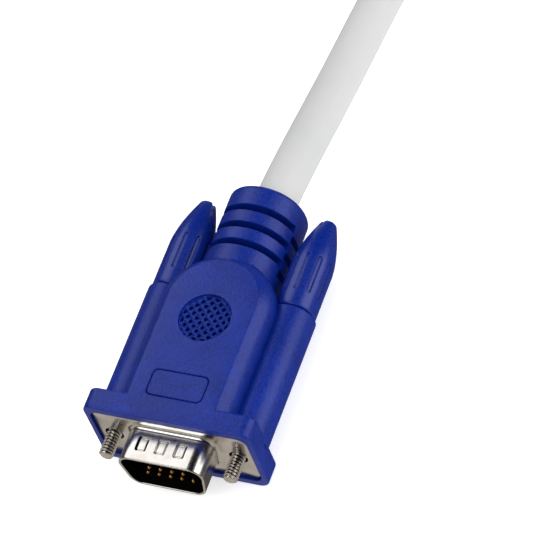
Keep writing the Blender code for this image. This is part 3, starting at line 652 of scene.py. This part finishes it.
# Screws: 4-40 UNC, 2.84 mm over a rolled thread of 0.635 mm pitch, steel with bright nickel.
# The tip is turned round, and the shank inside the knob is plain.
def screw_mesh():
    """Helical thread: radius = 1.42 - 0.42 (1 - crest), where crest climbs from 0 on the root's
    flat to 1 on the crest's flat with the place in the pitch. The tip is a quarter ellipse."""
    pitch, crest_radius, thread_depth, sides = 0.635, 1.42, 0.42, 64
    turn = np.arange(sides) * 2 * math.pi / sides
    along = np.arange(-5.0, 2.6, 0.04)
    phase = (along[:, None] / pitch - turn[None, :] / (2 * math.pi)) % 1.0
    saw = np.abs(phase - 0.5) * 2.0
    crest = np.clip((saw - 0.12) / 0.76, 0.0, 1.0)
    radius = crest_radius - thread_depth * (1.0 - crest)
    tip = np.clip((along + 5.0) / 0.6, 0.0, 1.0)[:, None]
    radius = np.minimum(radius, 0.95 + 0.47 * np.sqrt(np.clip(tip * (2 - tip), 0.0, 1.0)))
    y = np.repeat(along[:, None], sides, axis=1)
    thread = np.stack([radius * np.cos(turn), y, radius * np.sin(turn)], axis=2)
    nose = stacked_y([(-5.0, circle(0.05, sides)), (-5.0, circle(0.8, sides))])
    shank = stacked_y([(2.75, circle(1.2, sides)), (43.7, circle(1.2, sides))])
    return ring_mesh("screw", np.vstack([nose, thread, shank]))


screw = screw_mesh()
screw.shade_smooth()
screw.set_sharp_from_angle(angle=math.radians(50.0))

# Nickel-plated steel: warm grey. The thread roots take a second, near-black material: painted shade
# in the grooves
nickel_thread, tree, shader = new_material("nickel_thread", "#CFC9BE", 0.24, 1.0)
where = add_node(tree, "ShaderNodeTexCoord").outputs["Object"]
smear = add_node(tree, "ShaderNodeTexNoise", {"Scale": 900.0, "Detail": 2.0}, Vector=where)
tint = add_node(tree, "ShaderNodeValToRGB", {}, Fac=smear.outputs["Fac"])
tint.color_ramp.elements[0].position = 0.35
tint.color_ramp.elements[0].color = linear("#DAD4CA")
tint.color_ramp.elements[1].position = 0.65
tint.color_ramp.elements[1].color = linear("#F0ECE6")
tree.links.new(shader.inputs["Base Color"], tint.outputs["Color"])
rough = add_node(
    tree, "ShaderNodeMapRange", {"To Min": 0.2, "To Max": 0.32}, Value=smear.outputs["Fac"]
)
tree.links.new(shader.inputs["Roughness"], rough.outputs["Result"])
# The thread roots are painted dark and dull: painted shade where the grooves lie hidden from the
# light
painted_root_shade, tree, shader = new_material("painted_root_shade", "#2E2822", 0.55, 1.0)
where = add_node(tree, "ShaderNodeTexCoord").outputs["Object"]
root_shade_noise = add_node(tree, "ShaderNodeTexNoise", {"Scale": 1800.0, "Detail": 2.0}, Vector=where)
tint = add_node(tree, "ShaderNodeValToRGB", {}, Fac=root_shade_noise.outputs["Fac"])
tint.color_ramp.elements[0].color = linear("#1E1A16")
tint.color_ramp.elements[1].color = linear("#4A4239")
tree.links.new(shader.inputs["Base Color"], tint.outputs["Color"])
screw.materials.clear()
screw.materials.append(nickel_thread)
screw.materials.append(painted_root_shade)
# Faces near the axis along the threaded stretch get the painted root shade
middles = np.empty(len(screw.polygons) * 3)
screw.polygons.foreach_get("center", middles)
middles = middles.reshape(-1, 3) / MM
rooted = (np.hypot(middles[:, 0], middles[:, 2]) < 1.09) & (np.abs(middles[:, 1] + 1.05) < 3.5)
screw.polygons.foreach_set("material_index", rooted.astype(np.int32))
for suffix, place, turned_round in plugs:
    for side, x, degrees in sides:
        piece = set_in_place(
            f"jack_screw_{side}{suffix}", on_screw_axis(screw, x, degrees), place, turned_round
        )
        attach(piece, f"thumbscrew_{side}{suffix}")
        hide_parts(f"screw_{side}{suffix}")


# Front shell: one stamped and drawn steel sheet, nickel plated. Plate, flared root and D skirt,
# with three contact dimples pressed into its upper face and three into its lower one.
def d_outline(offset, flat=104, side=20, steps=10):
    """The D: flat top and bottom, sides leaning in by 10 degrees, round corners, grown by offset."""
    slope = math.radians(10.0)
    half_width, half_rise, corner_radius = 8.46, 4.18, 2.3
    half_height = half_rise + offset
    middle = half_width - half_rise * math.tan(slope) + offset / math.cos(slope)
    spread = half_height * math.tan(slope)
    radius = corner_radius + offset
    corners = np.array(
        [
            (middle + spread, half_height),
            (-middle - spread, half_height),
            (-middle + spread, -half_height),
            (middle - spread, -half_height),
        ]
    )
    arcs = []
    for i in range(4):
        corner = corners[i]
        back = corners[i - 1] - corner
        ahead = corners[(i + 1) % 4] - corner
        back = back / np.linalg.norm(back)
        ahead = ahead / np.linalg.norm(ahead)
        half_angle = math.acos(float(back @ ahead)) / 2
        between = (back + ahead) / np.linalg.norm(back + ahead)
        centre = corner + between * radius / math.sin(half_angle)
        tangent = corner + back * radius / math.tan(half_angle) - centre
        start = math.atan2(tangent[1], tangent[0])
        turn = start + np.linspace(0.0, math.pi - 2 * half_angle, steps + 1)
        arcs.append(centre + radius * np.stack([np.cos(turn), np.sin(turn)], axis=1))
    outline = []
    for i in range(4):
        outline.append(arcs[i])
        count = flat if i % 2 == 0 else side
        share = (np.arange(1, count) / count)[:, None]
        outline.append(arcs[i][-1] * (1 - share) + arcs[(i + 1) % 4][0] * share)
    return np.vstack(outline)


def plate_outline(like, width, height, corner):
    """The plate's rounded rectangle, one point for each point of the D, found by its direction."""
    turn = np.arctan2(like[:, 1], like[:, 0])
    smooth_box = rounded_box(width, height, corner, 12)
    dense = np.vstack([smooth_box, smooth_box[:1]])
    share = np.linspace(0.0, 1.0, 40)[:, None, None]
    dense = (dense[None, :-1] * (1 - share) + dense[None, 1:] * share).transpose(1, 0, 2)
    dense = dense.reshape(-1, 2)
    angle = np.unwrap(np.arctan2(dense[:, 1], dense[:, 0]))
    order = np.argsort(angle)
    wanted = angle[0] + (turn - angle[0]) % (2 * math.pi)
    x = np.interp(wanted, angle[order], dense[order, 0])
    z = np.interp(wanted, angle[order], dense[order, 1])
    return np.stack([x, z], axis=1)


def pressed(rings):
    """Push the sheet in by 0.2 mm inside rounded rectangles, the contact dimples, and by twice as
    much along their outlines, where the die bent it."""
    shift, pitch, middle, half_x, half_y, corner = 0.45, 3.8, 3.4, 1.05, 1.5, 0.45
    x, y, z = rings[..., 0], rings[..., 1], rings[..., 2]
    for index in (-1, 0, 1):
        across = np.abs(x + shift - pitch * index) - half_x + corner
        along = np.abs(y + middle) - half_y + corner
        reach = np.hypot(np.maximum(across, 0), np.maximum(along, 0)) - corner
        reach = reach + np.minimum(np.maximum(across, along), 0)
        share = np.clip(-reach / 0.17, 0.0, 1.0)
        share = 0.2 * share * share * (3 - 2 * share) + 0.24 * np.exp(-(((reach + 0.16) / 0.1) ** 2))
        z -= np.sign(z) * share * (np.abs(z) > 4.0)
    return rings


def front_shell_mesh():
    """One closed wall, ring by ring: round the plate's edge, over its back, forward inside the D,
    round the half-circle lip, back outside the D, and out along a quarter-circle flare."""
    lip_y, wall, flare_radius = -6.75, 0.5, 0.75
    width, height, corner = 30.8, 14.3, 1.6
    inner = stacked_y([(y, d_outline(0.0)) for y in np.linspace(lip_y, -0.6, 60)])
    outer = stacked_y([(y, d_outline(wall)) for y in np.linspace(-flare_radius, lip_y, 60)])
    lip_turn = np.linspace(0.0, math.pi, 7)[1:-1]
    lip = stacked_y(
        [(lip_y - 0.15 * math.sin(t), d_outline(0.25 + 0.25 * math.cos(t))) for t in lip_turn]
    )
    bend = np.linspace(0.0, math.pi / 2, 9)[1:]
    flare = [
        (-flare_radius + flare_radius * math.sin(t), wall + flare_radius * (1 - math.cos(t)))
        for t in bend
    ]
    root = stacked_y([(y, d_outline(o)) for y, o in flare[::-1]])
    rim = d_outline(1.25)
    edge = [(0.0, 0.06), (0.03, 0.0), (0.47, 0.0), (0.5, 0.06)]
    plate = stacked_y(
        [(y, plate_outline(rim, width - 2 * i, height - 2 * i, corner - i)) for y, i in edge]
    )
    back = stacked_y([(0.5, d_outline(0.55)), (0.3, d_outline(0.2)), (-0.1, d_outline(0.03))])
    flat = stacked_y([(0.0, d_outline(1.33))])
    outside = [lip[::-1], pressed(outer)[::-1], root[::-1], flat]
    rings = np.vstack([plate, back, pressed(inner)[::-1], *outside])
    return ring_mesh("front_shell", rings, closed=True)


stamped = front_shell_mesh()
holes = [turned("hole", [(-1.0, 1.85), (1.0, 1.85)], 48, x) for x in (-screw_reach, screw_reach)]
stamped = carved(stamped, holes)
stamped.shade_smooth()
stamped.set_sharp_from_angle(angle=math.radians(35.0))

# Bright nickel on drawn steel: clear reflections, faint draw lines along the skirt, warm tone
drawn_nickel, tree, shader = new_material("drawn_nickel", "#E9E5DF", 0.22, 1.0)
where = add_node(tree, "ShaderNodeTexCoord").outputs["Object"]
streak = add_node(tree, "ShaderNodeMapping", {"Scale": (1.0, 0.12, 1.0)}, Vector=where)
lines = add_node(
    tree, "ShaderNodeTexNoise", {"Scale": 2600.0, "Detail": 2.0}, Vector=streak.outputs["Vector"]
)
patch = add_node(tree, "ShaderNodeTexNoise", {"Scale": 260.0, "Detail": 2.0}, Vector=where)
tint = add_node(tree, "ShaderNodeValToRGB", {}, Fac=patch.outputs["Fac"])
tint.color_ramp.elements[0].position = 0.35
tint.color_ramp.elements[0].color = linear("#E2DDD5")
tint.color_ramp.elements[1].position = 0.65
tint.color_ramp.elements[1].color = linear("#F0EDE8")
tree.links.new(shader.inputs["Base Color"], tint.outputs["Color"])
rough = add_node(
    tree, "ShaderNodeMapRange", {"To Min": 0.19, "To Max": 0.27}, Value=lines.outputs["Fac"]
)
tree.links.new(shader.inputs["Roughness"], rough.outputs["Result"])
bump = add_node(
    tree, "ShaderNodeBump", {"Strength": 0.05, "Distance": 0.00001}, Height=lines.outputs["Fac"]
)
tree.links.new(shader.inputs["Normal"], bump.outputs["Normal"])
# Inside the skirt the same nickel is painted near black and dull: painted shade in the D's recess
painted_skirt_shade, tree, shader = new_material("painted_skirt_shade", "#1B1918", 0.7, 1.0)
where = add_node(tree, "ShaderNodeTexCoord").outputs["Object"]
skirt_shade_noise = add_node(tree, "ShaderNodeTexNoise", {"Scale": 700.0, "Detail": 2.0}, Vector=where)
tint = add_node(tree, "ShaderNodeValToRGB", {}, Fac=skirt_shade_noise.outputs["Fac"])
tint.color_ramp.elements[0].color = linear("#141313")
tint.color_ramp.elements[1].color = linear("#24211F")
tree.links.new(shader.inputs["Base Color"], tint.outputs["Color"])
stamped.materials.clear()
stamped.materials.append(drawn_nickel)
stamped.materials.append(painted_skirt_shade)
# Faces that look inwards within the skirt get the painted shade material
middles = np.empty(len(stamped.polygons) * 3)
facing = np.empty(len(stamped.polygons) * 3)
stamped.polygons.foreach_get("center", middles)
stamped.polygons.foreach_get("normal", facing)
middles, facing = middles.reshape(-1, 3) / MM, facing.reshape(-1, 3)
inwards = (middles[:, 0] * facing[:, 0] + middles[:, 2] * facing[:, 2]) < 0.0
inside = inwards & (middles[:, 1] < -0.2) & (middles[:, 1] > -6.72) & (np.abs(middles[:, 0]) < 10.0)
stamped.polygons.foreach_set("material_index", inside.astype(np.int32))
for suffix, place, turned_round in plugs:
    shell = set_in_place("d_shell" + suffix, stamped, place, turned_round)
    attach(shell, "cable")
    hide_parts("front_shell" + suffix)
    frame["nodes"]["rear_shell" + suffix].data.materials.clear()
    frame["nodes"]["rear_shell" + suffix].data.materials.append(drawn_nickel)


# Insulator: glass-filled PBT moulded in black, between the two shells, with a hole for each contact.
# It lies deep in the D, so it reads as a dark satin floor.
black_pbt, tree, shader = new_material("black_pbt", "#101113", 0.4)
where = add_node(tree, "ShaderNodeTexCoord").outputs["Object"]
fleck = add_node(tree, "ShaderNodeTexNoise", {"Scale": 3000.0, "Detail": 2.0}, Vector=where)
rough = add_node(
    tree, "ShaderNodeMapRange", {"To Min": 0.34, "To Max": 0.5}, Value=fleck.outputs["Fac"]
)
tree.links.new(shader.inputs["Roughness"], rough.outputs["Result"])
tint = add_node(tree, "ShaderNodeValToRGB", {}, Fac=fleck.outputs["Fac"])
tint.color_ramp.elements[0].color = linear("#0C0D0F")
tint.color_ramp.elements[1].color = linear("#17181B")
tree.links.new(shader.inputs["Base Color"], tint.outputs["Color"])

# Inner moulding: natural polyethylene shot round the soldered joints, waxy and off-white.
# The hood is moulded over it and hides it.
waxy_pe, tree, shader = new_material("waxy_pe", "#D9D8CE", 0.5)
where = add_node(tree, "ShaderNodeTexCoord").outputs["Object"]
cloud = add_node(tree, "ShaderNodeTexNoise", {"Scale": 300.0, "Detail": 2.0}, Vector=where)
tint = add_node(tree, "ShaderNodeValToRGB", {}, Fac=cloud.outputs["Fac"])
tint.color_ramp.elements[0].color = linear("#CFCDC1")
tint.color_ramp.elements[1].color = linear("#E1E0D8")
tree.links.new(shader.inputs["Base Color"], tint.outputs["Color"])
for suffix in ("", "_far"):
    for node, look in (("insulator", black_pbt), ("inner_mould", waxy_pe)):
        frame["nodes"][node + suffix].data.materials.clear()
        frame["nodes"][node + suffix].data.materials.append(look)


# Contacts: brass wire pins, 0.76 mm, with a bullet nose and a thin gold flash over nickel.
# They stand in three rows of five, four and five, 2.29 mm apart along a row.
def pin_mesh():
    """Straight pin with an elliptical nose: radius = 0.38 sqrt(1 - s^2) over the first 0.5 mm."""
    nose = np.linspace(1.0, 0.0, 9)
    profile = [(-5.8 + 0.5 * (1 - s), max(0.03, 0.38 * math.sqrt(1 - s * s))) for s in nose]
    return turned("pin", profile + [(-2.0, 0.38), (1.0, 0.38), (7.2, 0.38)], 24)


pin = pin_mesh()
pin.shade_smooth()
pin.set_sharp_from_angle(angle=math.radians(50.0))
gold_flash, tree, shader = new_material("gold_flash", "#D9A45A", 0.24, 1.0)
where = add_node(tree, "ShaderNodeTexCoord").outputs["Object"]
smear = add_node(tree, "ShaderNodeTexNoise", {"Scale": 1500.0, "Detail": 2.0}, Vector=where)
tint = add_node(tree, "ShaderNodeValToRGB", {}, Fac=smear.outputs["Fac"])
tint.color_ramp.elements[0].position = 0.35
tint.color_ramp.elements[0].color = linear("#C98F4C")
tint.color_ramp.elements[1].position = 0.65
tint.color_ramp.elements[1].color = linear("#E2B56E")
tree.links.new(shader.inputs["Base Color"], tint.outputs["Color"])
rough = add_node(
    tree, "ShaderNodeMapRange", {"To Min": 0.18, "To Max": 0.34}, Value=smear.outputs["Fac"]
)
tree.links.new(shader.inputs["Roughness"], rough.outputs["Result"])
pin.materials.clear()
pin.materials.append(gold_flash)
pin_pitch, row_pitch, row_shift = 2.29, 1.98, 0.38
rows = [(f"top_{i + 1}", (i - 2) * pin_pitch - row_shift, row_pitch) for i in range(5)]
rows += [(f"middle_{i + 1}", (i - 1.5) * pin_pitch, 0.0) for i in range(4)]
rows += [(f"bottom_{i + 1}", (i - 2) * pin_pitch + row_shift, -row_pitch) for i in range(5)]
for suffix, place, turned_round in plugs:
    for label, x, z in rows:
        shifted = pin.copy()
        shifted.transform(Matrix.Translation(Vector((x, 0.0, z)) * MM))
        piece = set_in_place(f"contact_{label}{suffix}", shifted, place, turned_round)
        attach(piece, "cable")
        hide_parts(f"pin_{label}{suffix}")


# Tie: black hook-and-loop tape, 9 mm wide, wrapped once round the coil and pressed on itself.
# Its woven loop pile is on the outside.
def tie_mesh():
    """Band round the coil's section with soft edges, set at 120 degrees on the coil."""
    half_tape = 4.5
    across = np.linspace(-half_tape, half_tape, 13)
    bulge = 0.12 * (1 - (across / half_tape) ** 2)
    width, height = 16.78 - 0.24, 25.18 - 0.24
    outer = [(y, rounded_box(width + 2 * b, height + 2 * b, 2.4)) for y, b in zip(across, bulge)]
    inner = [(y, rounded_box(15.0, 23.4, 1.6)) for y in across[::-1]]
    rings = stacked_y(outer + inner)
    rings[..., 0] += coil_radius
    rings[..., 2] += coil_levels[1]
    mesh = ring_mesh("tie", rings, closed=True)
    mesh.transform(Matrix.Rotation(math.radians(tie_degrees), 4, "Z"))
    mesh.transform(Matrix.Translation(coil_centre))
    return mesh


tie_tape = bpy.data.objects.new("tie_tape", tie_mesh())
bpy.context.scene.collection.objects.link(tie_tape)
tie_tape.data.shade_smooth()
tie_tape.data.set_sharp_from_angle(angle=math.radians(40.0))
loop_nylon, tree, shader = new_material("loop_nylon", "#17171A", 0.85)
where = add_node(tree, "ShaderNodeTexCoord").outputs["Object"]
pile = add_node(tree, "ShaderNodeTexVoronoi", {"Scale": 1600.0}, Vector=where)
tint = add_node(tree, "ShaderNodeValToRGB", {}, Fac=pile.outputs["Distance"])
tint.color_ramp.elements[0].color = linear("#26262A")
tint.color_ramp.elements[1].color = linear("#0C0C0E")
tree.links.new(shader.inputs["Base Color"], tint.outputs["Color"])
bump = add_node(
    tree, "ShaderNodeBump", {"Strength": 0.7, "Distance": 0.0002}, Height=pile.outputs["Distance"]
)
tree.links.new(shader.inputs["Normal"], bump.outputs["Normal"])
shader.inputs["Sheen Weight"].default_value = 0.4
tie_tape.data.materials.append(loop_nylon)
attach(tie_tape, "cable")
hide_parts("cord_tie")

# The cord's facts: it leaves the near relief and ends in the far plug, which lies on its coil.
# What rides on it is named by the pieces that stand for the far plug's nodes, and the tie.
far_pieces = ["moulded_hood", "thumb_knob_left", "thumb_knob_right"]
far_pieces += ["jack_screw_left", "jack_screw_right", "d_shell"]
on_cord = [tie_tape, *(bpy.data.objects[name + "_far"] for name in far_pieces)]
on_cord += [frame["nodes"][name + "_far"] for name in ("rear_shell", "insulator", "inner_mould")]
on_cord += [bpy.data.objects[f"contact_{label}_far"] for label, _, _ in rows]


# Table and light: a white table under a large soft ceiling and a side fill, with three small soft
# boxes and a room that is pale towards the viewer and dark behind. Nickel and blue PVC mirror the
# boxes and the room, not the table, and the table glows a little, so that it comes out white.
table = bpy.data.meshes.new("table")
table_reach, table_height = 3, -2e-5
ends = ((-1, -1), (1, -1), (1, 1), (-1, 1))
corners = [(x * table_reach, y * table_reach, table_height) for x, y in ends]
table.from_pydata(corners, [], [(0, 1, 2, 3)])
white_table = bpy.data.objects.new("white_table", table)
bpy.context.scene.collection.objects.link(white_table)
white_card, tree, shader = new_material("white_card", "#FFFFFF", 0.7)
shader.inputs["Specular IOR Level"].default_value = 0.2
shader.inputs["Emission Color"].default_value = linear("#FFFFFF")
shader.inputs["Emission Strength"].default_value = 0.5
table.materials.append(white_card)
white_table.visible_glossy = False
for name, place, size, power, mirrored in (
    ("dome", (0.0, 0.0, 1.5), (2.4, 2.4), 24.5, False),
    ("fill", (1.3, -0.5, 0.5), (1.2, 1.2), 9.0, False),
    ("right_box", (0.778, 0.440, 0.449), (0.6, 0.8), 3.0, True),
    ("left_box", (-0.61, 0.440, 0.66), (0.5, 0.78), 1.9, True),
    ("front_box", (-0.40, -0.62, 0.80), (0.7, 0.7), 3.0, True),
):
    soft_box = bpy.data.lights.new(name, "AREA")
    soft_box.shape = "RECTANGLE"
    soft_box.size, soft_box.size_y = size
    soft_box.energy = power
    lamp = bpy.data.objects.new(name, soft_box)
    lamp.location = place
    lamp.rotation_euler = (-Vector(place)).to_track_quat("-Z", "Y").to_euler()
    lamp.visible_glossy = mirrored
    lamp.visible_camera = False
    bpy.context.scene.collection.objects.link(lamp)
room = bpy.data.worlds.new("room")
room.use_nodes = True
tree = room.node_tree
where = add_node(tree, "ShaderNodeTexCoord").outputs["Generated"]
height = add_node(tree, "ShaderNodeSeparateXYZ", {}, Vector=where)
share = add_node(
    tree, "ShaderNodeMapRange", {"From Min": -1.0, "From Max": 1.0}, Value=height.outputs["Z"]
)
shade = add_node(tree, "ShaderNodeValToRGB", {}, Fac=share.outputs["Result"])
shade.color_ramp.elements[0].position = 0.0
shade.color_ramp.elements[0].color = linear("#8C8780")
shade.color_ramp.elements[1].position = 0.7
shade.color_ramp.elements[1].color = linear("#101012")
for position, grey in ((0.36, "#8A8580"), (0.5, "#8E8B87"), (0.58, "#4A4A4A")):
    shade.color_ramp.elements.new(position).color = linear(grey)
towards = add_node(
    tree,
    "ShaderNodeMapRange",
    {"From Min": -0.35, "From Max": 0.35, "To Min": 1.7, "To Max": 0.3},
    Value=height.outputs["Y"],
)
tree.links.new(tree.nodes["Background"].inputs["Color"], shade.outputs["Color"])
tree.links.new(tree.nodes["Background"].inputs["Strength"], towards.outputs["Result"])
bpy.context.scene.world = room
bpy.context.scene.view_settings.view_transform = "Standard"
